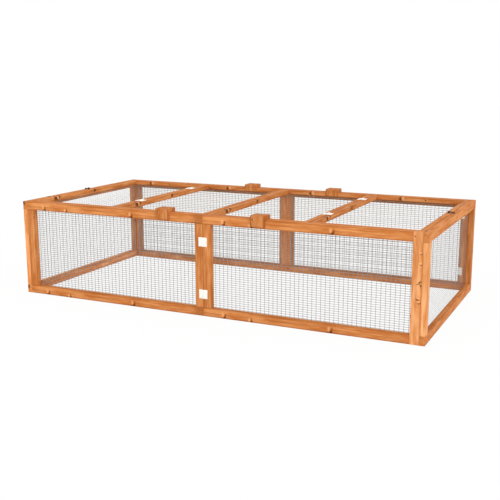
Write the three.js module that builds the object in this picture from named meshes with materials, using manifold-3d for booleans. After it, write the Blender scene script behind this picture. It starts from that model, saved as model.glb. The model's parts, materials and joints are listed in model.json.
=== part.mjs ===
// Outdoor rabbit run: a low timber-framed pen of six wire wall panels with an inset roof of
// four wire lids. Millimetres, +Z up, X along the length, -Y the front. The origin is on the
// ground at the middle of the pen.

import * as THREE from 'three';
import { mergeVertices } from 'three/addons/utils/BufferGeometryUtils.js';
import Module from 'manifold-3d';

const wasm = await Module();
wasm.setup();

// ---------------------------------------------------------------- driving dimensions
const LENGTH = 2440;          // over the two end panels
const WIDTH = 1180;           // over the front and back panels
const HEIGHT = 560;           // ground to the top of the rails
const FACE = 49;              // rail and stile, seen width
const THICK = 30;             // rail and stile, through the wall
const ARRIS = 2.5;            // rounding along every planed edge

const LID_BAR = 30;           // lid member, seen from above
const LID_DEPTH = 27;         // lid member, top to underside
const LID_GAP_X = 1.5;        // between lids, and at the end panels
const LID_GAP_Y = 2;          // to the front and back rails

const WIRE_T = 1.25;          // wire sheet, through its thickness
const WIRE_W = 2;             // wire, seen width
const WIRE_LAP = 15;          // how far a sheet laps on to its frame
const WIRE_DROP = 5;          // wall sheets stop this far below the lids
const WIRE_IN = 4;            // end sheets stop this far inside the front and back panels
const WALL_CELLS = [9, 4];    // gaps along and up a wall sheet
const LID_CELLS = [4, 8];     // gaps along and across a lid sheet

const LUG = 80;               // carrying block, along the rail
const LUG_X = [-246, 328];    // centres of the blocks on the two middle lids
const LUG_OUT = 13;           // reach beyond the outer face of the wall
const LUG_IN = 5;             // reach beyond the inner side of the lid member
const LUG_UP = 21;            // height above the rail
const LUG_DOWN = 40;          // drop of the outer cheek below the top of the rail
const LUG_CHEEK = 23;         // drop of the inner cheek
const SEAT = 0.3;             // running clearance of metal parts and blocks

const HINGE = 50;             // butt hinge, square when open
const LEAF_T = 2;             // leaf thickness
const BARREL_R = 3;           // knuckle radius
const PIN_R = 1.2;
const KNUCKLES = 5;
const LID_HINGE_Y = [-270, 330];
const WALL_HINGE_Z = [124, 414];

const HOOK_Y = { left: 4, right: 24 }; // cabin hooks, off the middle of each end
const EYE_IN = 12;            // standing eye, inside the end panel
const HOOK_WIRE_R = 2.3;
const RING_WIRE_R = 2;
const RING_R = 5;             // centre line of the hook's and the eye's rings
const HOOK_H = 8;             // hook axis above the timber
const HOOK_REACH = 31;        // pivot to tip
const CROOK = 6;              // the hook's crook, from its top to the tip along the shank
const SAG = 1.8;              // the shank's dip before the crook
const STEM_R = 2;             // stem of the standing eye
const STEM = 5;

// ---------------------------------------------------------------- derived
const X1 = LENGTH / 2, X0 = X1 - THICK;          // outer and inner face of an end panel
const Y1 = WIDTH / 2, Y0 = Y1 - THICK;           // outer and inner face of front and back
const LID = (2 * X0 - 5 * LID_GAP_X) / 4;        // length of one lid
const LID_Y = Y0 - LID_GAP_Y;
const LID_Z = HEIGHT - LID_DEPTH;
const HINGE_X = LID + LID_GAP_X;                 // hinge line, from the middle of the pen
const AXIS_Z = HEIGHT + BARREL_R + SEAT;

// ---------------------------------------------------------------- materials
const pine = new THREE.MeshStandardMaterial({ color: 0xd98b4e, roughness: 0.62, metalness: 0 });
const galvanised = new THREE.MeshStandardMaterial({ color: 0x8f9496, roughness: 0.45, metalness: 0.85 });
const zinc = new THREE.MeshStandardMaterial({ color: 0xf2f2f0, roughness: 0.35, metalness: 0.3 });
const black = new THREE.MeshStandardMaterial({ color: 0x17120f, roughness: 0.5, metalness: 0.6 });

const run = new THREE.Group();

function add(name, geometry, material) {
  const mesh = new THREE.Mesh(geometry, material);
  mesh.name = name;
  run.add(mesh);
  return mesh;
}

// ---------------------------------------------------------------- solids
function toManifold(geometry) {
  const g = geometry.clone();
  g.deleteAttribute('normal');
  g.deleteAttribute('uv');
  const m = mergeVertices(g, 1e-4);
  return new wasm.Manifold(new wasm.Mesh({
    numProp: 3,
    vertProperties: new Float32Array(m.attributes.position.array),
    triVerts: new Uint32Array(m.index.array),
  }));
}

function fromManifold(solid) {
  const m = solid.getMesh();
  const g = new THREE.BufferGeometry();
  g.setAttribute('position', new THREE.BufferAttribute(new Float32Array(m.vertProperties), 3));
  g.setIndex(new THREE.BufferAttribute(new Uint32Array(m.triVerts), 1));
  g.computeVertexNormals();
  return g;
}

const fuse = (...geometries) => fromManifold(geometries.map(toManifold).reduce((a, b) => a.add(b)));
const cut = (geometry, ...tools) =>
  fromManifold(tools.map(toManifold).reduce((a, b) => a.subtract(b), toManifold(geometry)));

function block(x, y, z) {               // each argument is a [low, high] pair
  const g = new THREE.BoxGeometry(x[1] - x[0], y[1] - y[0], z[1] - z[0]);
  return g.translate((x[0] + x[1]) / 2, (y[0] + y[1]) / 2, (z[0] + z[1]) / 2);
}

function roundedRect(a, b, r) {
  const s = new THREE.Shape();
  s.moveTo(-a / 2 + r, -b / 2);
  s.lineTo(a / 2 - r, -b / 2);
  s.absarc(a / 2 - r, -b / 2 + r, r, -Math.PI / 2, 0);
  s.lineTo(a / 2, b / 2 - r);
  s.absarc(a / 2 - r, b / 2 - r, r, 0, Math.PI / 2);
  s.lineTo(-a / 2 + r, b / 2);
  s.absarc(-a / 2 + r, b / 2 - r, r, Math.PI / 2, Math.PI);
  s.lineTo(-a / 2, -b / 2 + r);
  s.absarc(-a / 2 + r, -b / 2 + r, r, Math.PI, 1.5 * Math.PI);
  return s;
}

// a planed length of timber in the box x, y, z, its grain and eased edges along `axis`
function timber(axis, x, y, z, r = ARRIS) {
  const size = [x, y, z].map(([lo, hi]) => hi - lo);
  const mid = [x, y, z].map(([lo, hi]) => (lo + hi) / 2);
  const n = 'xyz'.indexOf(axis);
  const [a, b] = { x: [size[2], size[1]], y: [size[0], size[2]], z: [size[0], size[1]] }[axis];
  const g = new THREE.ExtrudeGeometry(roundedRect(a, b, r), {
    depth: size[n], bevelEnabled: false, curveSegments: 2, steps: 1,
  });
  g.translate(0, 0, -size[n] / 2);
  if (axis === 'x') g.rotateY(Math.PI / 2);
  if (axis === 'y') g.rotateX(-Math.PI / 2);
  return g.translate(...mid);
}

// a flat sheet of welded wire, w by h in its own plane, nx by ny gaps
function wireSheet(w, h, nx, ny) {
  const px = (w - WIRE_W) / nx, py = (h - WIRE_W) / ny;
  const gaps = [];
  for (let i = 0; i < nx; i++) for (let j = 0; j < ny; j++) {
    gaps.push(block(
      [i * px + WIRE_W - w / 2, (i + 1) * px - w / 2],
      [j * py + WIRE_W - h / 2, (j + 1) * py - h / 2],
      [-1, WIRE_T + 1],
    ));
  }
  return cut(block([-w / 2, w / 2], [-h / 2, h / 2], [0, WIRE_T]), ...gaps);
}

// ---------------------------------------------------------------- wall panels
// Rails run the panel's whole length and the stiles stand between them, except at the front
// right corner, where the stile runs the whole height and the rails butt it.
const TOP = [HEIGHT - FACE, HEIGHT], BOTTOM = [0, FACE];

// the two butt hinges that join the front panels, closed flat over their seam
function wallHinge(z) {
  const leaf = block([-HINGE / 2, HINGE / 2], [-Y1 - LEAF_T, -Y1], [z - HINGE / 2, z + HINGE / 2]);
  const barrel = new THREE.CylinderGeometry(BARREL_R, BARREL_R, HINGE, 16);
  barrel.rotateX(Math.PI / 2).translate(0, -Y1 - BARREL_R, z);
  return fuse(leaf, barrel);
}

function wallPanel(name, side, x, tallRight) {       // a front or back panel, side -1 or +1
  const y = side < 0 ? [-Y1, -Y0] : [Y0, Y1];
  const rail = tallRight ? [x[0], x[1] - FACE] : x;
  const between = [FACE, HEIGHT - FACE];
  add(`${name}_top_rail`, timber('x', rail, y, TOP), pine);
  add(`${name}_bottom_rail`, timber('x', rail, y, BOTTOM), pine);
  let left = timber('z', [x[0], x[0] + FACE], y, between);
  if (name === 'front_right') left = fuse(left, ...WALL_HINGE_Z.map(wallHinge));
  add(`${name}_left_stile`, left, pine);
  add(`${name}_right_stile`, timber('z', [x[1] - FACE, x[1]], y, tallRight ? [0, HEIGHT] : between), pine);
  const w = x[1] - x[0] - 2 * FACE + 2 * WIRE_LAP, h = LID_Z - WIRE_DROP - (FACE - WIRE_LAP);
  const net = wireSheet(w, h, ...WALL_CELLS).rotateX(Math.PI / 2);
  net.translate((x[0] + x[1]) / 2, side < 0 ? -Y0 + WIRE_T : Y0, FACE - WIRE_LAP + h / 2);
  add(`${name}_wire`, net, galvanised);
}

function endPanel(name, side) {                       // side -1 left, +1 right
  const x = side < 0 ? [-X1, -X0] : [X0, X1];
  add(`${name}_top_rail`, timber('y', x, [-Y1, Y1], TOP), pine);
  add(`${name}_bottom_rail`, timber('y', x, [-Y1, Y1], BOTTOM), pine);
  add(`${name}_front_stile`, timber('z', x, [-Y1, -Y1 + FACE], [FACE, HEIGHT - FACE]), pine);
  add(`${name}_back_stile`, timber('z', x, [Y1 - FACE, Y1], [FACE, HEIGHT - FACE]), pine);
  const w = 2 * (Y0 - WIRE_IN), h = LID_Z - WIRE_DROP - (FACE - WIRE_LAP);
  const net = wireSheet(w, h, ...WALL_CELLS).rotateX(Math.PI / 2).rotateZ(Math.PI / 2);
  net.translate(side < 0 ? -X0 : X0 - WIRE_T, 0, FACE - WIRE_LAP + h / 2);
  add(`${name}_wire`, net, galvanised);
}

wallPanel('front_left', -1, [-X0, 0], false);
wallPanel('front_right', -1, [0, X0], true);
wallPanel('back_left', 1, [-X0, 0], false);
wallPanel('back_right', 1, [0, X0], false);
endPanel('left_end', -1);
endPanel('right_end', 1);

// ---------------------------------------------------------------- lid hinges
// One leaf in its own frame: hinge line along Y through the origin, leaf lying towards +X on a
// surface at -(BARREL_R + SEAT). `own` picks the knuckles that belong to it.
function hingeLeaf(own, hasPin) {
  const pitch = HINGE / KNUCKLES, low = -(BARREL_R + SEAT);
  const parts = [block([BARREL_R + 2 * SEAT, HINGE / 2], [-HINGE / 2, HINGE / 2], [low, low + LEAF_T])];
  for (const k of own) {
    const y = [-HINGE / 2 + k * pitch + SEAT / 2, -HINGE / 2 + (k + 1) * pitch - SEAT / 2];
    const knuckle = new THREE.CylinderGeometry(BARREL_R, BARREL_R, y[1] - y[0], 16);
    parts.push(knuckle.translate(0, (y[0] + y[1]) / 2, 0));
    parts.push(block([0, BARREL_R + 1], y, [-BARREL_R, low + LEAF_T]));
  }
  const pin = new THREE.CylinderGeometry(PIN_R, PIN_R, HINGE - SEAT, 10);
  if (hasPin) return fuse(...parts, pin);
  const bore = new THREE.CylinderGeometry(PIN_R + 0.4, PIN_R + 0.4, HINGE + 2, 12);
  return cut(fuse(...parts), bore);
}

// ---------------------------------------------------------------- lids
// The cabin hook's eye stands on the lid's end bar: a ring round the Y axis on a short stem.
function ring(radius, wire, around, sides = 20) {
  const g = new THREE.TorusGeometry(radius, wire, 8, sides);
  if (around === 'y') g.rotateX(Math.PI / 2);
  return g;
}

function screwEye([x, y]) {
  const eye = ring(RING_R, RING_WIRE_R, 'y').translate(x, y, HEIGHT + HOOK_H);
  const stem = new THREE.CylinderGeometry(STEM_R, STEM_R, STEM, 10).rotateX(Math.PI / 2);
  return fuse(eye, stem.translate(x, y, HEIGHT + STEM / 2 - 1));
}

// A carrying block hooks over the outer side of the rail and is one with the lid's own rail.
function lug(side, x) {
  const outer = -(Y1 + LUG_OUT), inner = -(LID_Y - LID_BAR - LUG_IN);
  const body = timber('x', [x - LUG / 2, x + LUG / 2], [outer, inner], [HEIGHT - LUG_DOWN, HEIGHT + LUG_UP], 3);
  const slot = block([x - LUG, x + LUG], [-Y1 - 3 * SEAT, -LID_Y], [HEIGHT - LUG_DOWN - 5, HEIGHT + SEAT]);
  const under = block([x - LUG, x + LUG], [-LID_Y - 1, inner + 1], [HEIGHT - LUG_DOWN - 5, HEIGHT - LUG_CHEEK]);
  const g = cut(body, slot, under);
  return side < 0 ? g : g.rotateZ(Math.PI).translate(2 * x, 0, 0);
}

function lid(name, x, { hinge, lugX, eye }) {
  const z = [LID_Z, HEIGHT];
  const inX = [x[0] + LID_BAR, x[1] - LID_BAR];
  const bars = { left: [x[0], inX[0]], right: [inX[1], x[1]] };
  for (const [where, bx] of Object.entries(bars)) {
    let bar = timber('y', bx, [-LID_Y, LID_Y], z);
    if (eye && eye[0] > bx[0] && eye[0] < bx[1]) bar = fuse(bar, screwEye(eye));
    add(`${name}_${where}_bar`, bar, pine);
  }
  for (const [where, side] of [['front', -1], ['back', 1]]) {
    const y = side < 0 ? [-LID_Y, -LID_Y + LID_BAR] : [LID_Y - LID_BAR, LID_Y];
    let rail = timber('x', inX, y, z);
    if (lugX !== undefined) rail = fuse(rail, lug(side, lugX));
    add(`${name}_${where}_rail`, rail, pine);
  }
  const w = x[1] - x[0] - 2 * WIRE_LAP, h = 2 * (LID_Y - WIRE_LAP);
  const net = wireSheet(w, h, ...LID_CELLS).translate((x[0] + x[1]) / 2, 0, LID_Z - WIRE_T);
  add(`${name}_wire`, net, galvanised);
  for (const [i, y] of LID_HINGE_Y.entries()) {
    const leaf = hingeLeaf(hinge.moving ? [0, 2, 4] : [1, 3], hinge.moving);
    if (hinge.towards < 0) leaf.rotateZ(Math.PI);
    add(`${name}_hinge_leaf_${i ? 'back' : 'front'}`, leaf.translate(hinge.x, y, AXIS_Z), zinc);
  }
}

const EYE_X = X0 - EYE_IN;
const EYES = { left: [-EYE_X, HOOK_Y.left], right: [EYE_X, HOOK_Y.right] };
const g = LID_GAP_X;
lid('left_end_lid', [-X0 + g, -HINGE_X - g / 2], { hinge: { x: -HINGE_X, towards: -1, moving: true }, eye: EYES.left });
lid('left_middle_lid', [-HINGE_X + g / 2, -g / 2], { hinge: { x: -HINGE_X, towards: 1 }, lugX: LUG_X[0] });
lid('right_middle_lid', [g / 2, HINGE_X - g / 2], { hinge: { x: HINGE_X, towards: -1 }, lugX: LUG_X[1] });
lid('right_end_lid', [HINGE_X + g / 2, X0 - g], { hinge: { x: HINGE_X, towards: 1, moving: true }, eye: EYES.right });

// ---------------------------------------------------------------- cabin hooks
// In its own frame the hook's pivot is at the origin and its shank runs towards +X. Its ring
// lies flat and is linked through the standing eye; the shank sags a little, rises in a
// crook and turns down over the end rail.
function hook() {
  const eyeRing = ring(RING_R, RING_WIRE_R, 'z').translate(RING_R, 0, 0);
  const tip = HOOK_H - SEAT;
  const route = [
    [2 * RING_R, 0],
    [HOOK_REACH - 2 * CROOK, -SAG],
    [HOOK_REACH - CROOK, 0],
    [HOOK_REACH, -1.5 * SAG],
    [HOOK_REACH, -tip],
  ];
  const path = new THREE.CatmullRomCurve3(route.map(([x, z]) => new THREE.Vector3(x, 0, z)));
  const section = new THREE.Shape().absarc(0, 0, HOOK_WIRE_R, 0, 2 * Math.PI);
  const shank = new THREE.ExtrudeGeometry(section, { steps: 20, extrudePath: path, curveSegments: 4 });
  return fuse(eyeRing, shank);
}
add('left_hook', hook().rotateZ(Math.PI).translate(...EYES.left, HEIGHT + HOOK_H), black);
add('right_hook', hook().translate(...EYES.right, HEIGHT + HOOK_H), black);

export default run;
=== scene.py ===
# Outdoor rabbit run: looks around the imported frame. Metres, +X right, -Y front, +Z up.
import json
import math

import bmesh
import bpy
from mathutils import Matrix, Vector


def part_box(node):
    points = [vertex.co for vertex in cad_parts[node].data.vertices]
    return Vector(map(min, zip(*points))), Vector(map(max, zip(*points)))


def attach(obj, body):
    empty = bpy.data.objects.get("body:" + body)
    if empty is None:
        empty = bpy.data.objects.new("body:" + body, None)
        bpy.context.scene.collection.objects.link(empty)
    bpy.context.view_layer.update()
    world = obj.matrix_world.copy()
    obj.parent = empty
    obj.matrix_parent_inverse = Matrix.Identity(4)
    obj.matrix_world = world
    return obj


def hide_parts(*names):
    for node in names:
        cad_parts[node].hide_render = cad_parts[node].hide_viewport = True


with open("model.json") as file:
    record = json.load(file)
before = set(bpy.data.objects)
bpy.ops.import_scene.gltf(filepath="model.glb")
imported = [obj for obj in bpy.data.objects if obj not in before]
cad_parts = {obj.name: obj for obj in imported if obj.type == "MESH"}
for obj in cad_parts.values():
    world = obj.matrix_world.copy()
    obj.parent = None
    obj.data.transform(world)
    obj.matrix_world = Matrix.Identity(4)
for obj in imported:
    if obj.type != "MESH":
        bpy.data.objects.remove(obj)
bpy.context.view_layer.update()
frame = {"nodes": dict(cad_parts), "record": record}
nodes, record = frame["nodes"], frame["record"]
MM = 0.001
ORDER = {"x": (0, 1, 2), "y": (1, 0, 2), "z": (2, 0, 1)}  # along, across and through a timber

# ------------------------------------------------------------------ sizes in mm
HEIGHT, FACE, THICK = 560, 49, 30
OUTER_Y, LID_Y = 590, 558  # half the pen's width, half a lid's width
LID_BAR, LID_DEPTH = 30, 27
LID_BOTTOM = HEIGHT - LID_DEPTH

# ------------------------------------------------------------------ camera
LENS, SENSOR = 58.316, 36
CAMERA_AT = (2.06763, -4.33542, 1.27163)
CAMERA_TURN, CAMERA_DIP, CAMERA_ROLL = 25.492, 11.925, -0.115  # degrees


def spin(degrees, axis):
    return Matrix.Rotation(math.radians(degrees), 4, axis)


camera = bpy.data.objects.new("camera", bpy.data.cameras.new("camera"))
bpy.context.scene.collection.objects.link(camera)
camera.data.lens = LENS
camera.data.sensor_width = SENSOR
camera.data.clip_start = 0.05
camera.data.clip_end = 100
camera.matrix_world = (
    Matrix.Translation(CAMERA_AT)
    @ spin(CAMERA_TURN, "Z")
    @ spin(90 - CAMERA_DIP, "X")
    @ spin(CAMERA_ROLL, "Z")
)
bpy.context.scene.camera = camera


# ------------------------------------------------------------------ node helpers
MIX_COLOUR_IN, MIX_COLOUR_OUT = (0, 6, 7), 2  # the Mix node's colour sockets: factor, A and B, result


class Tree:
    """Short calls for building a node tree."""

    def __init__(self, tree):
        self.t = tree

    def add(self, kind, **settings):
        n = self.t.nodes.new(kind)
        for k, v in settings.items():
            setattr(n, k, v)
        return n

    def put(self, socket, value):
        if isinstance(value, bpy.types.NodeSocket):
            self.t.links.new(value, socket)
        elif value is not None:
            socket.default_value = value

    def math(self, op, a, b=None, c=None):
        n = self.add("ShaderNodeMath", operation=op)
        for s, v in zip(n.inputs, (a, b, c)):
            self.put(s, v)
        return n.outputs[0]

    def vec(self, op, a, b=None):
        n = self.add("ShaderNodeVectorMath", operation=op)
        self.put(n.inputs[0], a)
        self.put(n.inputs[1], b)
        return n.outputs["Value" if op in ("LENGTH", "DOT_PRODUCT") else "Vector"]

    def noise(self, vector, scale, detail=2.0, rough=0.5):
        n = self.add("ShaderNodeTexNoise")
        self.put(n.inputs["Vector"], vector)
        n.inputs["Scale"].default_value = scale
        n.inputs["Detail"].default_value = detail
        n.inputs["Roughness"].default_value = rough
        return n.outputs["Fac"]

    def step(self, value, lo, hi, out_lo=0.0, out_hi=1.0):
        n = self.add("ShaderNodeMapRange", interpolation_type="SMOOTHSTEP")
        for s, v in zip(n.inputs, (value, lo, hi, out_lo, out_hi)):
            self.put(s, v)
        return n.outputs[0]

    def mix(self, fac, a, b):
        n = self.add("ShaderNodeMix", data_type="RGBA")
        for k, v in zip(MIX_COLOUR_IN, (fac, a, b)):
            self.put(n.inputs[k], v)
        return n.outputs[MIX_COLOUR_OUT]

    def split(self, v):
        n = self.add("ShaderNodeSeparateXYZ")
        self.put(n.inputs[0], v)
        return list(n.outputs)

    def join(self, x, y, z):
        n = self.add("ShaderNodeCombineXYZ")
        for s, v in zip(n.inputs, (x, y, z)):
            self.put(s, v)
        return n.outputs[0]


def rgb(code):
    """An sRGB colour such as 0xd98b4e as linear RGBA."""
    out = []
    for shift in (16, 8, 0):
        c = ((code >> shift) & 255) / 255
        out.append(c / 12.92 if c <= 0.04045 else ((c + 0.055) / 1.055) ** 2.4)
    return (*out, 1.0)


def group(name, inputs, outputs):
    g = bpy.data.node_groups.new(name, "ShaderNodeTree")
    for n, kind in inputs:
        g.interface.new_socket(name=n, in_out="INPUT", socket_type=kind)
    for n, kind in outputs:
        g.interface.new_socket(name=n, in_out="OUTPUT", socket_type=kind)
    t = Tree(g)
    return g, t, t.add("NodeGroupInput").outputs, t.add("NodeGroupOutput").inputs


# pine stained orange: colours of the figure, of the stain and painted shade along the arrises, of a cut
# end and of a knot
PALE_WOOD, MID_WOOD, DARK_WOOD, FIBRE_WOOD = 0xF4A462, 0xD47D3B, 0xB9682F, 0x7C4320
POOLED_STAIN_AND_SHADE, PATCH_STAIN = 0xA85C2B, 0x9A5A2C
RING_PALE, RING_DARK = 0xDE9050, 0xA86230
FLECK_PALE, CURL_DARK = 0xFFC082, 0x7E421E
CORE_DARK, CORE_BROWN = 0x3C1E0E, 0x6B3A1C
EVEN_OUT = (0.81, 0.82, 0.84)  # brings the figure's mean to the photograph's exposure
# how far stain and painted shade darken the arrises, on most timbers and on the eased stile
EDGE_STAIN_AND_SHADE, EASED_STAIN_AND_SHADE = 0.42, 0.12
WOOD_SPECULAR = 0.08

# noise in the figure: scale along the grain, scale across it, detail, roughness
WARP, PATCH, BAND = (2.6, 16, 2, 0.5), (7, 48, 4, 0.6), (2.2, 110, 3, 0.6)
FIBRE, PORE = (14, 900, 3, 0.6), (60, 1400, 2, 0.6)
RINGS_PER_METRE, RING_WANDER = 260, 3.4
PITH = (0.035, 0.028)  # how far off, in metres, the pith may lie across and through
CROWN, LATE_RISE, FIBRE_RISE, PORE_RISE = -0.0010, 0.00005, 0.00006, -0.00004

F, V, C = "NodeSocketFloat", "NodeSocketVector", "NodeSocketColor"


def growth_rings(t, seed, across, through, warp):
    """Bands of latewood round a pith that lies outside the member."""
    off_b = t.math("MULTIPLY_ADD", t.math("SINE", t.math("MULTIPLY", seed, 7.3)), PITH[0], across)
    off_c = t.math("MULTIPLY_ADD", t.math("COSINE", t.math("MULTIPLY", seed, 4.1)), PITH[1], through)
    radius = t.vec("LENGTH", t.join(0.0, off_b, off_c))
    phase = t.math("MULTIPLY_ADD", warp, RING_WANDER, t.math("MULTIPLY", radius, RINGS_PER_METRE))
    wave = t.math("FRACT", phase)
    return t.math("MULTIPLY", t.step(wave, 0.35, 0.9), t.step(wave, 0.9, 1.0, 1.0, 0.0))


def stain_and_edge_shade(t, place, half):
    """Stain gathers along the arrises and wicks into the ends. The band along the arrises is also
    painted shade, for rounded edges turned from the light.
    """
    da, db, dc = (t.math("SUBTRACT", h, t.math("ABSOLUTE", p)) for h, p in zip(half, place))
    edge = t.step(t.math("MAXIMUM", db, dc), 0.0005, 0.0085, 1.0, 0.0)
    ends = t.step(da, 0.0, 0.012, 0.25, 0.0)
    return edge, t.math("MAXIMUM", edge, ends)


def planed_height(t, place, half, late, fibre, pore):
    """The planed faces are very slightly crowned, with raised latewood and open fibres."""
    def crown(d, h):
        q = t.math("DIVIDE", d, h)
        return t.math("MULTIPLY", t.math("MULTIPLY", q, q), CROWN)

    height = t.math("ADD", crown(place[1], half[1]), crown(place[2], half[2]))
    for value, rise in ((late, LATE_RISE), (fibre, FIBRE_RISE), (pore, PORE_RISE)):
        height = t.math("MULTIPLY_ADD", value, rise, height)
    return height


def timber_group(axis):
    """Stained softwood with its grain along one axis. Centre and Half are the member's box. Stain sets
    how dark the arrises go, with stain and painted shade.
    """
    g, t, i, o = group(
        f"timber_{axis}",
        [("Centre", V), ("Half", V), ("Seed", F), ("Tone", V), ("Stain", F)],
        [("Color", C), ("Height", F), ("Rough", F), ("Point", V)],
    )
    coord = t.add("ShaderNodeTexCoord")

    def turned(v):
        s = t.split(v)
        return [s[k] for k in ORDER[axis]]

    place = turned(t.vec("SUBTRACT", coord.outputs["Object"], i["Centre"]))
    half = turned(i["Half"])
    facing_end = t.math("ABSOLUTE", turned(coord.outputs["Normal"])[0])
    seed = i["Seed"]
    moved = [t.math("MULTIPLY_ADD", seed, k, p) for k, p in zip((3.17, 0.91, 0.53), place)]

    def figure(along, across, detail, rough):
        scaled = [t.math("MULTIPLY", p, k) for k, p in zip((along, across, across), moved)]
        return t.noise(t.join(*scaled), 1, detail, rough)

    warp, patch, band = figure(*WARP), figure(*PATCH), figure(*BAND)
    fibre, pore = figure(*FIBRE), figure(*PORE)
    late = growth_rings(t, seed, place[1], place[2], warp)
    edge, stained_and_shaded = stain_and_edge_shade(t, place, half)

    dark = rgb(DARK_WOOD)
    col = t.mix(t.step(patch, 0.36, 0.64), rgb(MID_WOOD), rgb(PALE_WOOD))
    col = t.mix(t.math("MULTIPLY", t.step(band, 0.44, 0.70), 0.6), col, dark)
    col = t.mix(t.math("MULTIPLY", late, 0.34), col, dark)
    col = t.mix(t.math("MULTIPLY", t.step(fibre, 0.52, 0.80), 0.22), col, rgb(FIBRE_WOOD))
    # darker along the arrises with stain and painted shade, and into the ends with stain
    col = t.mix(t.math("MULTIPLY", stained_and_shaded, i["Stain"]), col, rgb(POOLED_STAIN_AND_SHADE))
    cut_end = t.step(facing_end, 0.6, 0.8, 0.0, 0.35)
    col = t.mix(cut_end, col, t.mix(late, rgb(RING_PALE), rgb(RING_DARK)))
    t.put(o["Color"], t.vec("MULTIPLY", col, i["Tone"]))
    t.put(o["Height"], planed_height(t, place, half, late, fibre, pore))
    t.put(o["Rough"], t.math("MULTIPLY_ADD", patch, 0.16, t.math("MULTIPLY_ADD", edge, 0.08, 0.58)))
    t.put(o["Point"], t.join(*place))
    return g


def knot_group():
    """A small dark knot, the pale short grain beside it and the dark curl between them."""
    g, t, i, o = group(
        "knot",
        [("Color", C), ("Height", F), ("Point", V), ("Place", V), ("Fleck", V), ("Radius", F)],
        [("Color", C), ("Height", F)],
    )
    wobble = t.noise(i["Point"], 140, 2)
    size = t.math("MULTIPLY", i["Radius"], t.math("MULTIPLY_ADD", wobble, 0.9, 0.6))
    d = t.vec("SUBTRACT", i["Point"], i["Place"])
    near = t.math("DIVIDE", t.vec("LENGTH", d), size)
    reach = t.vec("LENGTH", i["Fleck"])
    f = t.vec("SUBTRACT", d, i["Fleck"])
    spread = t.math("MULTIPLY", reach, t.math("MULTIPLY_ADD", wobble, 0.7, 0.65))
    out = t.math("DIVIDE", t.vec("LENGTH", f), spread)
    slim = t.math("DIVIDE", t.vec("LENGTH", t.vec("MULTIPLY", f, (1.7, 1, 1))), spread)
    facing = t.vec("DOT_PRODUCT", f, i["Fleck"])
    toward = t.math("MULTIPLY", facing, t.math("DIVIDE", -1.0, t.math("POWER", reach, 2.0)))
    col = t.mix(t.step(slim, 0.1, 1.0, 0.55, 0.0), i["Color"], rgb(FLECK_PALE))
    edge = t.step(t.math("ABSOLUTE", t.math("SUBTRACT", out, 0.9)), 0.05, 0.34, 0.85, 0.0)
    col = t.mix(t.math("MULTIPLY", edge, t.step(toward, 0.0, 0.6)), col, rgb(CURL_DARK))
    core = t.mix(t.math("FRACT", t.math("MULTIPLY", near, 2.3)), rgb(CORE_DARK), rgb(CORE_BROWN))
    col = t.mix(t.step(near, 0.3, 1.45, 0.92, 0.0), col, core)
    t.put(o["Color"], col)
    dent = t.step(near, 0.6, 1.2, 1.0, 0.0)
    t.put(o["Height"], t.math("MULTIPLY_ADD", dent, -0.0003, i["Height"]))
    return g


TIMBER = {a: timber_group(a) for a in "xyz"}
KNOT = knot_group()


def new_material(name):
    m = bpy.data.materials.new(name)
    m.use_nodes = True
    t = Tree(m.node_tree)
    shader = m.node_tree.nodes["Principled BSDF"]
    return m, t, shader


def box_of(obj):
    co = [v.co for v in obj.data.vertices]
    lo = Vector([min(c[k] for c in co) for k in range(3)])
    hi = Vector([max(c[k] for c in co) for k in range(3)])
    return lo, hi


def name_seed(name):
    return (sum(ord(c) * (k + 3) for k, c in enumerate(name)) % 97) / 7


def bumped(t, shader, height):
    """Feeds a height in metres to the shader's normal."""
    bump = t.add("ShaderNodeBump")
    bump.inputs["Strength"].default_value = 1.0
    bump.inputs["Distance"].default_value = 1.0
    t.put(bump.inputs["Height"], height)
    t.put(shader.inputs["Normal"], bump.outputs[0])


def pine(obj, axis, tone=1.0, knots=(), seed=None, dark_end=False, stain=EDGE_STAIN_AND_SHADE):
    """Gives a timber its own stained pine. A knot is (along, across, through, radius, fleck) in
    mm from the member's low corner, in its own turned axes."""
    lo, hi = box_of(obj)
    m, t, shader = new_material(f"pine_{obj.name}")
    base = t.add("ShaderNodeGroup", node_tree=TIMBER[axis])
    centre, half = (lo + hi) / 2, (hi - lo) / 2
    base.inputs["Centre"].default_value = centre
    base.inputs["Half"].default_value = half
    base.inputs["Seed"].default_value = name_seed(obj.name) if seed is None else seed
    # Stain here sets the darkening of the arrises by stain and painted shade
    base.inputs["Stain"].default_value = stain
    # Tone scales the colour; the tone tables put painted light and shade into it
    tone = (tone, tone, tone) if isinstance(tone, (int, float)) else tone
    base.inputs["Tone"].default_value = [a * b for a, b in zip(tone, EVEN_OUT)]
    col, height, point = base.outputs["Color"], base.outputs["Height"], base.outputs["Point"]
    h = [half[k] for k in ORDER[axis]]
    for along, p, q, radius, fleck in knots:
        k = t.add("ShaderNodeGroup", node_tree=KNOT)
        for name, value in (("Color", col), ("Height", height), ("Point", point)):
            t.put(k.inputs[name], value)
        k.inputs["Place"].default_value = (along * MM - h[0], p * MM - h[1], q * MM - h[2])
        k.inputs["Fleck"].default_value = [f * MM for f in fleck]
        k.inputs["Radius"].default_value = radius * MM
        col, height = k.outputs["Color"], k.outputs["Height"]
    if dark_end:
        from_end = t.math("SUBTRACT", h[0], t.split(point)[0])
        col = t.mix(t.step(from_end, 0.030, 0.078, 0.55, 0.0), col, rgb(PATCH_STAIN))
    t.put(shader.inputs["Base Color"], col)
    t.put(shader.inputs["Roughness"], base.outputs["Rough"])
    shader.inputs["Specular IOR Level"].default_value = WOOD_SPECULAR
    bumped(t, shader, height)
    obj.data.materials.clear()
    obj.data.materials.append(m)


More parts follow.
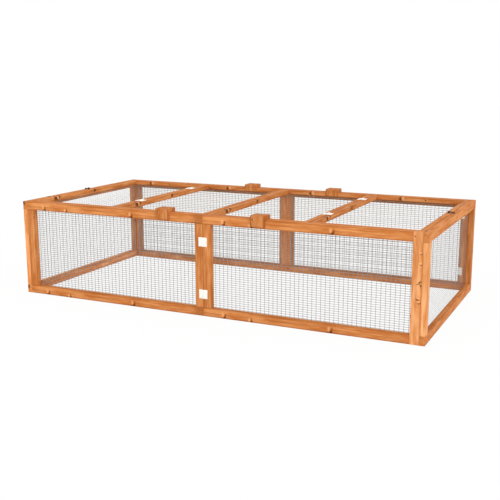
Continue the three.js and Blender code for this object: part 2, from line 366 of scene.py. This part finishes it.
def metal(name, colour, other, metallic, rough, grain, bump=0.00003):
    """A painted or galvanised metal that wanders between two colours. Grain is its noise scale."""
    m, t, shader = new_material(name)
    p = t.add("ShaderNodeTexCoord").outputs["Object"]
    n = t.noise(p, grain, 3)
    fine = t.noise(p, grain * 9, 2)
    t.put(shader.inputs["Base Color"], t.mix(t.step(n, 0.35, 0.7), rgb(colour), rgb(other)))
    t.put(shader.inputs["Roughness"], t.math("MULTIPLY_ADD", fine, 0.18, rough - 0.09))
    shader.inputs["Metallic"].default_value = metallic
    bumped(t, shader, t.math("MULTIPLY", fine, bump))
    return m


GALVANISED = metal("galvanised_wire", 0x8C8985, 0x9E9B97, 0.3, 0.5, 40)
MIDGREY = metal("galvanised_end_wire", 0x8B8884, 0x9C9995, 0.3, 0.5, 40)
# the lid wire is the same galvanised wire as the walls', coloured lighter as painted light from above
PAINTED_LIT_LID_WIRE = metal("galvanised_lid_wire", 0xB8A896, 0xAA9A88, 0.1, 0.55, 60)
STAPLE = metal("staple_wire", 0x8A8F92, 0x6E7478, 0.8, 0.42, 120)
WHITE = metal("white_hinge", 0xFBFAF4, 0xF1EFE8, 0.0, 0.42, 70)
# grey for the screws' cross slots: painted shade in the recess
SLOT_SHADE = metal("screw_recess", 0xA7A7A2, 0x8E8E8A, 0.2, 0.5, 200)
BLACK = metal("black_japan", 0x0E0B09, 0x171210, 0.0, 0.5, 150)


# ------------------------------------------------------------------ mesh helpers
class Mesh:
    """Gathers closed pieces into one object."""

    def __init__(self):
        self.verts, self.faces, self.index = [], [], []

    def add(self, verts, faces, material=0):
        n = len(self.verts)
        self.verts += [tuple(v) for v in verts]
        self.faces += [tuple(n + k for k in f) for f in faces]
        self.index += [material] * len(faces)

    def rings(self, rings, material=0, closed=False):
        """Skins equal rings of points, capping the first and last."""
        n, k = len(rings), len(rings[0])
        faces = []
        for i in range(n if closed else n - 1):
            a, b = i * k, ((i + 1) % n) * k
            faces += [(a + j, a + (j + 1) % k, b + (j + 1) % k, b + j) for j in range(k)]
        if not closed:
            faces += [tuple(reversed(range(k))), tuple(range((n - 1) * k, n * k))]
        self.add([p for r in rings for p in r], faces, material)

    def tube(self, points, radius, sides, closed=False):
        points = [Vector(p) for p in points]
        n = len(points)
        rings, up = [], None
        for i, p in enumerate(points):
            before = points[i - 1] if (i or closed) else p
            after = points[(i + 1) % n] if (i < n - 1 or closed) else p
            d = (after - before).normalized()
            if up is None:
                up = d.orthogonal().normalized()
            up = (up - d * up.dot(d)).normalized()
            side = d.cross(up)
            rings.append([
                p + (up * math.cos(a) + side * math.sin(a)) * radius
                for a in (2 * math.pi * j / sides for j in range(sides))
            ])
        self.rings(rings, closed=closed)

    def lathe(self, profile, centre, axis, sides=20):
        """Turns (radius, along) pairs round an axis through centre."""
        axis = Vector(axis).normalized()
        u = axis.orthogonal().normalized()
        w = axis.cross(u)
        rings = [[
            Vector(centre) + axis * h + (u * math.cos(a) + w * math.sin(a)) * max(r, 1e-6)
            for a in (2 * math.pi * j / sides for j in range(sides))
        ] for r, h in profile]
        self.rings(rings)

    def plank(self, axis, x, y, z, r=2.5, ease=0.8, steps=5):
        """A planed length in the box x, y, z (mm), its long arrises rounded and its ends eased."""
        box = [x, y, z]
        order = ORDER[axis]
        (a0, a1), (b0, b1), (c0, c1) = [box[k] for k in order]

        def outline(inset):
            pts = []
            hb, hc = (b1 - b0) / 2 - inset, (c1 - c0) / 2 - inset
            rr = max(r - inset, 0.3)
            for sb, sc, start in ((1, 1, 0), (-1, 1, 90), (-1, -1, 180), (1, -1, 270)):
                for s in range(steps + 1):
                    a = math.radians(start + 90 * s / steps)
                    pts.append(((b0 + b1) / 2 + sb * (hb - rr) + rr * math.cos(a),
                                (c0 + c1) / 2 + sc * (hc - rr) + rr * math.sin(a)))
            return pts

        low_end = [(a0, ease), (a0 + ease * 0.3, ease * 0.3), (a0 + ease, 0)]
        high_end = [(a1 - ease, 0), (a1 - ease * 0.3, ease * 0.3), (a1, ease)]
        rings = []
        for along, inset in low_end + high_end:
            ring = []
            for pb, pc in outline(inset):
                p = [0, 0, 0]
                p[order[0]], p[order[1]], p[order[2]] = along * MM, pb * MM, pc * MM
                ring.append(Vector(p))
            rings.append(ring)
        self.rings(rings)

    def object(self, name, materials, body, sharp=40):
        mesh = bpy.data.meshes.new(name)
        mesh.from_pydata(self.verts, [], self.faces)
        for m in materials:
            mesh.materials.append(m)
        mesh.polygons.foreach_set("material_index", self.index)
        bm = bmesh.new()
        bm.from_mesh(mesh)
        bmesh.ops.recalc_face_normals(bm, faces=bm.faces)
        bm.to_mesh(mesh)
        bm.free()
        mesh.shade_smooth()
        mesh.set_sharp_from_angle(angle=math.radians(sharp))
        obj = bpy.data.objects.new(name, mesh)
        bpy.context.scene.collection.objects.link(obj)
        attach(obj, body)
        return obj


BODY_OF = {n: b for b, members in record["behaviour"]["bodies"].items() for n in members}


def mm_box(node):
    lo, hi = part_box(node)
    return [[lo[k] / MM, hi[k] / MM] for k in range(3)]


# ------------------------------------------------------------------ welded wire
WALL_WIRE, END_WIRE, LID_WIRE = 1.15, 0.42, 0.34  # radii
WELD_SINK = 1.5  # radii between crossing wires, which the weld has sunk into each other
PITCH_WIDE, PITCH_TALL = 24.3, 12.15
WIRE_STUB = 1.5  # each wire runs past the last crossing
SHEET_MARGIN = 2  # at least this is left over beyond the outer wires, both edges together
WIRE_SIDES, STAPLE_SIDES = 6, 5
STAPLE_HALF, STAPLE_R = 4.5, 0.5
STAPLE_ROUND, STAPLE_DROP, STAPLE_FOOT = 0.8, 0.6, 0.05
# staples along the outer rows and columns of a sheet: crossings passed over at the start and at
# the end, crossings from one staple to the next, inset
ROW_STAPLES, COLUMN_STAPLES = (2, 1, 5, 4), (4, 2, 9, 5)
X, Y, Z = 0, 1, 2


def evenly(low, high, pitch):
    """Places pitch apart, centred between low and high."""
    n = int((high - low - SHEET_MARGIN) / pitch)
    first = (low + high) / 2 - n * pitch / 2
    return [first + k * pitch for k in range(n + 1)]


def point(*placed):
    """A point in metres from (axis, mm) pairs."""
    p = [0, 0, 0]
    for axis, value in placed:
        p[axis] = value * MM
    return p


def wire_sheet(node, u_axis, v_axis, pitch_u, pitch_v, inward, radius, material):
    """Full-pitch welded wire in the place of a CAD sheet, stapled to its frame."""
    box = mm_box(node)
    normal = 3 - u_axis - v_axis
    frame_face = box[normal][0 if inward > 0 else 1]
    us, vs = evenly(*box[u_axis], pitch_u), evenly(*box[v_axis], pitch_v)
    near = frame_face + inward * radius
    far = near + inward * radius * WELD_SINK
    net = Mesh()

    def wire(axis, other, at, depth, ends):
        net.tube([point((axis, e), (other, at), (normal, depth)) for e in ends], radius * MM, WIRE_SIDES)

    for u in us:
        wire(v_axis, u_axis, u, near, (vs[0] - WIRE_STUB, vs[-1] + WIRE_STUB))
    for v in vs:
        wire(u_axis, v_axis, v, far, (us[0] - WIRE_STUB, us[-1] + WIRE_STUB))
    obj = net.object(node.replace("_wire", "_welded_mesh"), [material], BODY_OF[node], 80)
    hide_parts(node)

    staples = Mesh()
    foot = frame_face + inward * STAPLE_FOOT
    crown = far + inward * (radius + STAPLE_R)
    shoulder = crown - inward * STAPLE_DROP
    half, inner = STAPLE_HALF, STAPLE_HALF - STAPLE_ROUND
    rise = ((-half, foot), (-half, shoulder), (-inner, crown))
    bend = (*rise, *((-da, depth) for da, depth in reversed(rise)))

    def staple_edges(axis, other, along, across, spacing):
        start, end, every, inset = spacing
        for edge in (across[0] + inset, across[-1] - inset):
            for a in along[start:len(along) - end:every]:
                pts = [point((axis, a + da), (other, edge), (normal, depth)) for da, depth in bend]
                staples.tube(pts, STAPLE_R * MM, STAPLE_SIDES)

    staple_edges(u_axis, v_axis, us, vs, ROW_STAPLES)
    staple_edges(v_axis, u_axis, vs, us, COLUMN_STAPLES)
    staples.object(node.replace("_wire", "_staples"), [STAPLE], BODY_OF[node], 60)


def wall_wire(name, inward):
    wire_sheet(f"{name}_wire", X, Z, PITCH_WIDE, PITCH_TALL, inward, WALL_WIRE, GALVANISED)


def end_wire(name, inward):
    wire_sheet(f"{name}_wire", Y, Z, PITCH_WIDE, PITCH_TALL, inward, END_WIRE, MIDGREY)


def lid_wire(name):
    wire_sheet(f"{name}_wire", X, Y, PITCH_WIDE, 2 * PITCH_WIDE, -1, LID_WIRE, PAINTED_LIT_LID_WIRE)


wall_wire("front_left", 1)
wall_wire("front_right", 1)
wall_wire("back_left", -1)
wall_wire("back_right", -1)
end_wire("left_end", 1)
end_wire("right_end", -1)
for name in ("left_end_lid", "left_middle_lid", "right_middle_lid", "right_end_lid"):
    lid_wire(name)


# ------------------------------------------------------------------ timber
# A knot is (along, across, through, radius, fleck) as pine() says. A fleck is the way to the pale
# short grain beside it. The front rails were all sawn alike, so their knots repeat.
FRONT_RAIL_KNOTS = (
    (130, 0, 7, 6.5, (-13, 0, 13)),
    (290, 0, 4, 6.0, (-14, 0, 8)),
    (738, 0, 8, 7.0, (-13, 0, 14)),
)
SEAM_KNOT = (1137, 0, 3, 3.4, (0, 0, 8))
RAIL_SEED, HINGE_STILE_SEED = 2.0, 4.4
# Tones scale a member's colour and carry painted light and shade: the front top rails lightened as a
# painted sheen, the back rails darkened as painted shade inside the pen, the left end's bottom rail
# lightened as painted light on its shaded inner face
X_RAIL_TONE_AND_PAINTED_LIGHT = {"front_top": 1.07, "front_bottom": 1.0, "back_top": 0.98, "back_bottom": 0.94}
Y_RAIL_TONE = 1.05
Y_RAIL_TONE_AND_PAINTED_LIGHT = {"left_end_bottom_rail": (1.3, 1.32, 1.25), "left_end_top_rail": (1.0, 0.98, 0.94)}
Y_RAIL_KNOTS = {
    "left_end_top_rail": (
        (0, 3, 42, 10, (8, 12, 0)),
        (218, 14, 49, 13, (18, 9, 0)),
        (631, 14, 49, 9, (-14, 6, 0)),
    ),
    "left_end_bottom_rail": ((0, 3, 34, 10, (8, 12, 0)),),
    "right_end_top_rail": ((34, 9, 49, 4.5, (16, 6, 0)), (626, 30, 36, 2.2, (-17, 0, 9))),
}
# Stile tones carry painted light and shade: the front corner stiles lightened as painted light and
# highlight, the back stiles darkened as painted shade in the back corners
STILE_TONE_AND_PAINTED_LIGHT = {
    "front_right_right_stile": (1.25, 1.45, 1.85),
    "left_end_front_stile": (1.42, 1.55, 1.8),
    "left_end_back_stile": 0.95,
    "right_end_front_stile": (1.35, 1.62, 2.1),
    "right_end_back_stile": (0.97, 0.95, 0.92),
    "back_left_left_stile": 0.95,
}
STILE_KNOTS = {
    "front_right_right_stile": (
        (539, 11, 0, 3.2, (-5, -4, 0)),
        (462, -1, 0, 5, (6, -4, 0)),
        (452, 44, 0, 1.3, (8, -3, 0)),
        (400, 46, 0, 1.5, (9, -3, 0)),
        (319, 46, 0, 3, (-5, -5, 0)),
        (314, 39, 0, 3.2, (7, -5, 0)),
        (303, 43, 0, 3.6, (6, 6, 0)),
        (297, 46, 0, 2.8, (-6, 5, 0)),
        (306, 33, 0, 2.6, (6, -5, 0)),
        (228, 31, 0, 3.6, (9, 4, 0)),
        (210, 45, 0, 2.8, (9, -5, 0)),
        (142, -1, 0, 5, (6, -4, 0)),
    ),
    "front_left_left_stile": ((418, 45, 0, 4.2, (0, -6, 0)), (440, 45, 0, 3.4, (0, -6, 0))),
    "front_left_right_stile": ((300, 0, 0, 4.0, (0, 6, 0)), (96, 0, 0, 4.0, (0, 6, 0))),
}
BAR_KNOTS = (
    (196, 27, 19, 15, (19, -4, 6)),
    (236, 22, 26, 13, (-16, 5, -3)),
    (600, 26, 22, 13, (-17, -5, 3)),
)
PLAIN_BAR_KNOTS = ((415, 10, 27, 7, (-11, 2, 0)), (870, 21, 27, 6, (10, -3, 0)))
# on the inner face of the lids' back rails: place along the pen, radius, length of the fleck
LID_BACK_KNOTS = ((-1032, 8, 19), (-875, 5, 6), (-420, 8, 19), (181, 8, 19), (774, 8, 19), (932, 5, 6))
LID_FRONT_KNOT = (300, 0, 14, 4, (-9, 0, 6))
REPLACED = {"front_right_left_stile", "left_end_lid_left_bar", "right_end_lid_right_bar"}


def x_rail(wall, side, level):
    """A rail of the front or back. The two left front ones take up more stain at the seam."""
    name = f"{wall}_{side}_{level}_rail"
    knots = list(FRONT_RAIL_KNOTS) if wall == "front" else []
    if name == "front_left_top_rail":
        knots.append(SEAM_KNOT)
    at_seam = (wall, side) == ("front", "left")
    pine(nodes[name], "x", X_RAIL_TONE_AND_PAINTED_LIGHT[f"{wall}_{level}"], knots, RAIL_SEED, dark_end=at_seam)


def y_rail(side, level):
    name = f"{side}_end_{level}_rail"
    stain = 0.0 if level == "top" else EDGE_STAIN_AND_SHADE
    pine(nodes[name], "y", Y_RAIL_TONE_AND_PAINTED_LIGHT.get(name, Y_RAIL_TONE), Y_RAIL_KNOTS.get(name, ()), stain=stain)


def stile(name):
    stain = EASED_STAIN_AND_SHADE if name == "front_right_right_stile" else EDGE_STAIN_AND_SHADE
    pine(nodes[name], "z", STILE_TONE_AND_PAINTED_LIGHT.get(name, 1.0), STILE_KNOTS.get(name, ()), stain=stain)


def lid_rail_knots(name):
    if not name.endswith("_back_rail"):
        return [LID_FRONT_KNOT]
    low, high = mm_box(name)[0]
    return [(x - low, 0, 13, r, (fleck, 0, 5)) for x, r, fleck in LID_BACK_KNOTS if low < x < high]


def plain_member(node, axis, box, knots=(), seed=None, stain=EDGE_STAIN_AND_SHADE):
    """A timber in the place of a CAD node that has other pieces fused to it."""
    member = Mesh()
    member.plank(axis, *box)
    obj = member.object(f"{node}_timber", [], BODY_OF[node])
    pine(obj, axis, 1.0, knots, seed, stain=stain)
    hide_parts(node)


def hinge_stile():
    """The stile that carries the front hinges."""
    box = (0, FACE), (-OUTER_Y, THICK - OUTER_Y), (FACE, HEIGHT - FACE)
    plain_member("front_right_left_stile", "z", box, seed=HINGE_STILE_SEED)


def eye_bar(node, knots):
    """An end lid's outer bar, which carries a hook's standing eye."""
    x, y, _ = mm_box(node)
    plain_member(node, "y", (x, y, (LID_BOTTOM, HEIGHT)), knots, stain=0.0)


BLOCK_HALF, BLOCK_R, INNER_CHEEK_R = 40, 3, 2
BLOCK_OUTER, BLOCK_INNER = 603, 523
BLOCK_UNDER, BLOCK_TOP, CHEEK_TOP = 560.3, 581, 566
OUTER_CHEEK_FOOT, INNER_CHEEK_FOOT = 520, 537
OUTER_CHEEK_GAP, CHEEK_INSET = 0.9, 0.1
BLOCK_X = {"left_middle_lid": -246, "right_middle_lid": 328}
# the block's arrises take more stain and painted shade than other timbers
BLOCK_TONE, BLOCK_STAIN_AND_SHADE = 0.93, 0.65
BLOCK_KNOT = (40, 12, 3.5, (0, 7, 0))


def block_rail(body, where, side):
    """A middle lid's front or back rail, which carries a block."""
    node = f"{body}_{where}_rail"
    y = sorted((side * LID_Y, side * (LID_Y - LID_BAR)))
    plain_member(node, "x", (mm_box(node)[0], y, (LID_BOTTOM, HEIGHT)), lid_rail_knots(node))


def carrying_block(body, where, side):
    """Hooks over the wall's rail: a top with a cheek down each side."""
    mid = BLOCK_X[body]
    wide = (mid - BLOCK_HALF, mid + BLOCK_HALF)
    cheek = (wide[0] + CHEEK_INSET, wide[1] - CHEEK_INSET)
    top_y = sorted((side * BLOCK_OUTER, side * BLOCK_INNER))
    outer_y = sorted((side * BLOCK_OUTER, side * (OUTER_Y + OUTER_CHEEK_GAP)))
    inner_y = sorted((side * BLOCK_INNER, side * (LID_Y - LID_BAR - CHEEK_INSET)))
    block = Mesh()
    block.plank("x", wide, top_y, (BLOCK_UNDER, BLOCK_TOP), BLOCK_R)
    block.plank("x", cheek, outer_y, (OUTER_CHEEK_FOOT, CHEEK_TOP), BLOCK_R)
    block.plank("x", cheek, inner_y, (INNER_CHEEK_FOOT, CHEEK_TOP), INNER_CHEEK_R)
    obj = block.object(f"{body}_{where}_block", [], body)
    along, across, radius, fleck = BLOCK_KNOT
    outside = 0 if side < 0 else BLOCK_OUTER - BLOCK_INNER
    pine(obj, "z", BLOCK_TONE, [(along, across, outside, radius, fleck)], stain=BLOCK_STAIN_AND_SHADE)


for wall in ("front", "back"):
    for side in ("left", "right"):
        for level in ("top", "bottom"):
            x_rail(wall, side, level)
for side in ("left", "right"):
    for level in ("top", "bottom"):
        y_rail(side, level)
for name, node in nodes.items():
    if name in REPLACED:
        continue
    if name.endswith("_stile"):
        stile(name)
    elif name.endswith("_bar"):
        pine(node, "y", 1.0, BAR_KNOTS if name.endswith("_left_bar") else PLAIN_BAR_KNOTS)
    elif "_end_lid_" in name and name.endswith("_rail"):
        pine(node, "x", 1.0, lid_rail_knots(name))
hinge_stile()
eye_bar("left_end_lid_left_bar", BAR_KNOTS)
eye_bar("right_end_lid_right_bar", PLAIN_BAR_KNOTS)
for body in BLOCK_X:
    for where, side in (("front", -1), ("back", 1)):
        block_rail(body, where, side)
        carrying_block(body, where, side)


# ------------------------------------------------------------------ hinges and screws
SCREW_R, SMALL_SCREW_R = 3.6, 2.8
SCREW_PROUD, SCREW_SUNK = 0.35, 0.3
SLOT_LONG, SLOT_WIDE = 0.52, 0.10  # half lengths as shares of the screw's radius


def screw(mesh, centre, axis, radius=SCREW_R):
    """A countersunk cross-head screw, its rim level with the plate."""
    axis, c = Vector(axis).normalized(), Vector(centre)
    r, sunk, proud = radius * MM, -SCREW_SUNK * MM, SCREW_PROUD * MM
    head = [(0, sunk), (r, sunk), (r, proud * 0.3), (r * 0.86, proud), (0, proud)]
    mesh.lathe(head, c, axis)
    u = axis.orthogonal().normalized()
    w = axis.cross(u)
    # each arm of the cross is a thin grey box standing on the head: painted shade for the slot
    for a, b in ((u, w), (w, u)):
        corners = [
            c + a * (s * r * SLOT_LONG) + b * (q * r * SLOT_WIDE)
            for s, q in ((-1, -1), (1, -1), (1, 1), (-1, 1))
        ]
        low = [p + axis * (proud - 0.1 * MM) for p in corners]
        high = [p + axis * (proud + 0.05 * MM) for p in corners]
        mesh.rings([low, high], 1)


LEAF_HALF, LEAF_T, LEAF_FROM_PIN = 25, 2, 3.4
KNUCKLES, KNUCKLE_GAP = 5, 0.3
BARREL_R, BARREL_EASE = 3, 0.4
BARREL_OUT, WRAP, WRAP_OUT, WRAP_IN = 1, 4, 0.4, 0.2  # the leaf's wrap joins each knuckle to it
SCREW_PLACES = ((11.5, 17), (20.5, 0), (11.5, -17))  # from the pin, along it
LID_SEAM_X = 594.625
FRONT_HINGE_HEIGHTS = {"lower": 124, "upper": 414}


def knuckle_profile(length):
    inner = BARREL_R - BARREL_EASE
    half = [(0, 0), (inner, 0), (BARREL_R, BARREL_EASE)]
    profile = half + [(r, length - h) for r, h in reversed(half)]
    return [(r * MM, h * MM) for r, h in profile]


def front_hinge(name, z):
    """A butt hinge over the seam of the two front panels."""
    front = -OUTER_Y - LEAF_T
    length = 2 * LEAF_HALF / KNUCKLES - KNUCKLE_GAP
    profile = knuckle_profile(length)
    wrap_y = (front - WRAP_OUT, -OUTER_Y - WRAP_IN)
    hinge = Mesh()
    for s in (-1, 1):
        x = sorted((s * LEAF_FROM_PIN, s * LEAF_HALF))
        hinge.plank("z", x, (front, -OUTER_Y), (z - LEAF_HALF, z + LEAF_HALF), r=0.6, ease=0.5)
        for dx, dz in SCREW_PLACES:
            screw(hinge, (s * dx * MM, front * MM, (z + dz) * MM), (0, -1, 0))
    for j in range(KNUCKLES):
        low = z - LEAF_HALF + j * (length + KNUCKLE_GAP) + KNUCKLE_GAP / 2
        hinge.lathe(profile, (0, (front - BARREL_OUT) * MM, low * MM), (0, 0, 1))
        s = -1 if j % 2 else 1
        hinge.plank("z", sorted((0, s * WRAP)), wrap_y, (low, low + length), r=0.3, ease=0.2, steps=2)
    hinge.object(name, [WHITE, SLOT_SHADE], "pen_walls")


def lid_leaf(name, node):
    """Paints a lid hinge's leaf white and drives its three screws."""
    node.data.materials.clear()
    node.data.materials.append(WHITE)
    (x0, x1), (y0, y1), _ = mm_box(name)
    pin = math.copysign(LID_SEAM_X, x0 + x1)
    s = 1 if (x0 + x1) / 2 > pin else -1
    top = (HEIGHT + LEAF_T) * MM
    screws = Mesh()
    for dx, dy in SCREW_PLACES:
        screw(screws, ((pin + s * dx) * MM, ((y0 + y1) / 2 + dy) * MM, top), (0, 0, 1))
    screws.object(f"{name}_screws", [WHITE, SLOT_SHADE], BODY_OF[name])


PLATE_X, PLATE_Y = (1143, 1166), (557.4, 559.4)
PLATE_SCREW = 0.28  # of the plate's height, either side of its middle
CORNER_PLATES = ((120, 48), (458, 26))  # middle, height


def corner_plate(name, z, height):
    """A small plate inside the back right corner."""
    mid_x = sum(PLATE_X) / 2
    plate = Mesh()
    plate.plank("z", PLATE_X, PLATE_Y, (z - height / 2, z + height / 2), r=0.6, ease=0.4, steps=2)
    for dz in (-height * PLATE_SCREW, height * PLATE_SCREW):
        screw(plate, (mid_x * MM, PLATE_Y[0] * MM, (z + dz) * MM), (0, -1, 0), SMALL_SCREW_R)
    plate.object(name, [WHITE, SLOT_SHADE], "pen_walls")


for place, z in FRONT_HINGE_HEIGHTS.items():
    front_hinge(f"front_hinge_{place}", z)
for name, node in nodes.items():
    if "_hinge_leaf_" in name:
        lid_leaf(name, node)
for k, (z, height) in enumerate(CORNER_PLATES):
    corner_plate(f"back_right_corner_plate_{k + 1}", z, height)


# ------------------------------------------------------------------ hooks
RING_R, RING_WIRE_R, CROOK_AT = 5.0, 2.0, 25.0
SHANK, SHANK_EASE, SHANK_SWELL = (7.5, 22.0), 3.0, 0.9
STEM_R, STEM = 2, 5
ROSE_R, ROSE, ROSE_RIM = 3.6, 2, 1.4
CATCH_WIDE, CATCH_TALL, CATCH_WIRE_R = 4.4, 3.8, 1.5
EYE_SUNK, CATCH_SUNK = 1, 1.5  # into the timber
PIVOT = {j["name"]: Vector(j["pos_m"]) / MM for j in record["behaviour"]["joints"] if "pos_m" in j}


def round_points(centre, u, v, start=0, turn=360, count=28):
    """Points of an arc with its radii along u and v, in metres from millimetres."""
    u, v, centre = Vector(u), Vector(v), Vector(centre)
    ends = 0 if turn == 360 else 1
    angles = [math.radians(start + turn * k / count) for k in range(count + ends)]
    return [(centre + u * math.cos(a) + v * math.sin(a)) * MM for a in angles]


def forged_hook(name, pivot_x):
    """A hook whose shank swells between its ring and its crook."""
    mesh = nodes[f"{name}_hook"].data.copy()
    mesh.materials.clear()
    mesh.materials.append(BLACK)
    normals = [v.normal.copy() for v in mesh.vertices]
    for v, normal in zip(mesh.vertices, normals):
        along = abs(v.co.x / MM - pivot_x)
        swell = min(max((along - SHANK[0]) / SHANK_EASE, 0), max((SHANK[1] - along) / SHANK_EASE, 0), 1)
        v.co += normal * (SHANK_SWELL * MM * swell)
    obj = bpy.data.objects.new(f"{name}_cabin_hook", mesh)
    bpy.context.scene.collection.objects.link(obj)
    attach(obj, f"{name}_hook")
    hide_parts(f"{name}_hook")


def standing_eye(name, x, y, z):
    """The screw eye that the hook's ring turns in."""
    foot = Vector((x, y, HEIGHT - EYE_SUNK)) * MM
    stem = ((0, 0), (STEM_R, 0), (STEM_R, STEM), (0, STEM))
    rose = ((0, 0), (ROSE_R, 0), (ROSE_R, ROSE_RIM), (STEM_R, ROSE), (0, ROSE))
    eye = Mesh()
    eye.tube(round_points((x, y, z), (RING_R, 0, 0), (0, 0, RING_R)), RING_WIRE_R * MM, 12, closed=True)
    for profile, sides in ((stem, 14), (rose, 18)):
        eye.lathe([(r * MM, h * MM) for r, h in profile], foot, (0, 0, 1), sides)
    eye.object(f"{name}_standing_eye", [BLACK], f"{name}_end_lid")


def catch_eye(name, x, y):
    """The staple on the end rail that the crook drops into."""
    over = round_points((x, y, HEIGHT), (0, CATCH_WIDE, 0), (0, 0, CATCH_TALL), 0, 180, 16)
    legs = [Vector((p.x, p.y, (HEIGHT - CATCH_SUNK) * MM)) for p in (over[0], over[-1])]
    catch = Mesh()
    catch.tube([legs[0], *over, legs[1]], CATCH_WIRE_R * MM, 10)
    catch.object(f"{name}_catch_eye", [BLACK], "pen_walls")


for side, name in ((-1, "left"), (1, "right")):
    x, y, z = PIVOT[f"{name}_hook_pivot"]
    forged_hook(name, x)
    standing_eye(name, x, y, z)
    catch_eye(name, x + side * CROOK_AT, y)


# ------------------------------------------------------------------ floor, light and background
def seen_directly(t):
    path = t.add("ShaderNodeLightPath")
    ray = t.math("MAXIMUM", path.outputs["Is Camera Ray"], path.outputs["Is Glossy Ray"])
    return t.math("MAXIMUM", ray, path.outputs["Is Transmission Ray"])


FLOOR_HALF, FLOOR_Z = 40, -0.0006  # metres
FLOOR_GREY, FLOOR_GLOW, FLOOR_GLOW_SHARE = 0.82, 1.01, 0.93
WORLD_LIGHT, WORLD_SEEN = 0.8, 1.0


def floor_material():
    """White where it is seen, plain pale grey where it only passes light on, with a faint shadow."""
    m = bpy.data.materials.new("floor")
    m.use_nodes = True
    t = Tree(m.node_tree)
    m.node_tree.nodes.remove(m.node_tree.nodes["Principled BSDF"])
    diffuse = t.add("ShaderNodeBsdfDiffuse")
    diffuse.inputs["Color"].default_value = (FLOOR_GREY, FLOOR_GREY, FLOOR_GREY, 1)
    glow = t.add("ShaderNodeEmission")
    glow.inputs["Strength"].default_value = FLOOR_GLOW
    blend = t.add("ShaderNodeMixShader")
    t.put(blend.inputs[0], t.math("MULTIPLY", seen_directly(t), FLOOR_GLOW_SHARE))
    t.put(blend.inputs[1], diffuse.outputs[0])
    t.put(blend.inputs[2], glow.outputs[0])
    t.put(m.node_tree.nodes["Material Output"].inputs["Surface"], blend.outputs[0])
    return m


def floor_plane():
    mesh = bpy.data.meshes.new("floor")
    corners = [(-1, -1), (1, -1), (1, 1), (-1, 1)]
    mesh.from_pydata([(x * FLOOR_HALF, y * FLOOR_HALF, FLOOR_Z) for x, y in corners], [], [(0, 1, 2, 3)])
    mesh.materials.append(floor_material())
    obj = bpy.data.objects.new("floor", mesh)
    bpy.context.scene.collection.objects.link(obj)


def white_world():
    world = bpy.data.worlds.new("world")
    bpy.context.scene.world = world
    world.use_nodes = True
    t = Tree(world.node_tree)
    back = world.node_tree.nodes["Background"]
    back.inputs["Color"].default_value = (1, 1, 1, 1)
    extra = WORLD_SEEN - WORLD_LIGHT
    t.put(back.inputs["Strength"], t.math("MULTIPLY_ADD", seen_directly(t), extra, WORLD_LIGHT))


def sun(name, towards, strength, angle):
    data = bpy.data.lights.new(name, "SUN")
    data.energy, data.angle = strength, math.radians(angle)
    lamp = bpy.data.objects.new(name, data)
    bpy.context.scene.collection.objects.link(lamp)
    lamp.rotation_euler = Vector(towards).to_track_quat("Z", "Y").to_euler()


floor_plane()
white_world()
sun("key", (-0.15, -0.80, 0.58), strength=0.75, angle=25)
sun("fill", (0.85, -0.35, 0.40), strength=1.15, angle=40)
bpy.context.scene.view_settings.view_transform = "Standard"
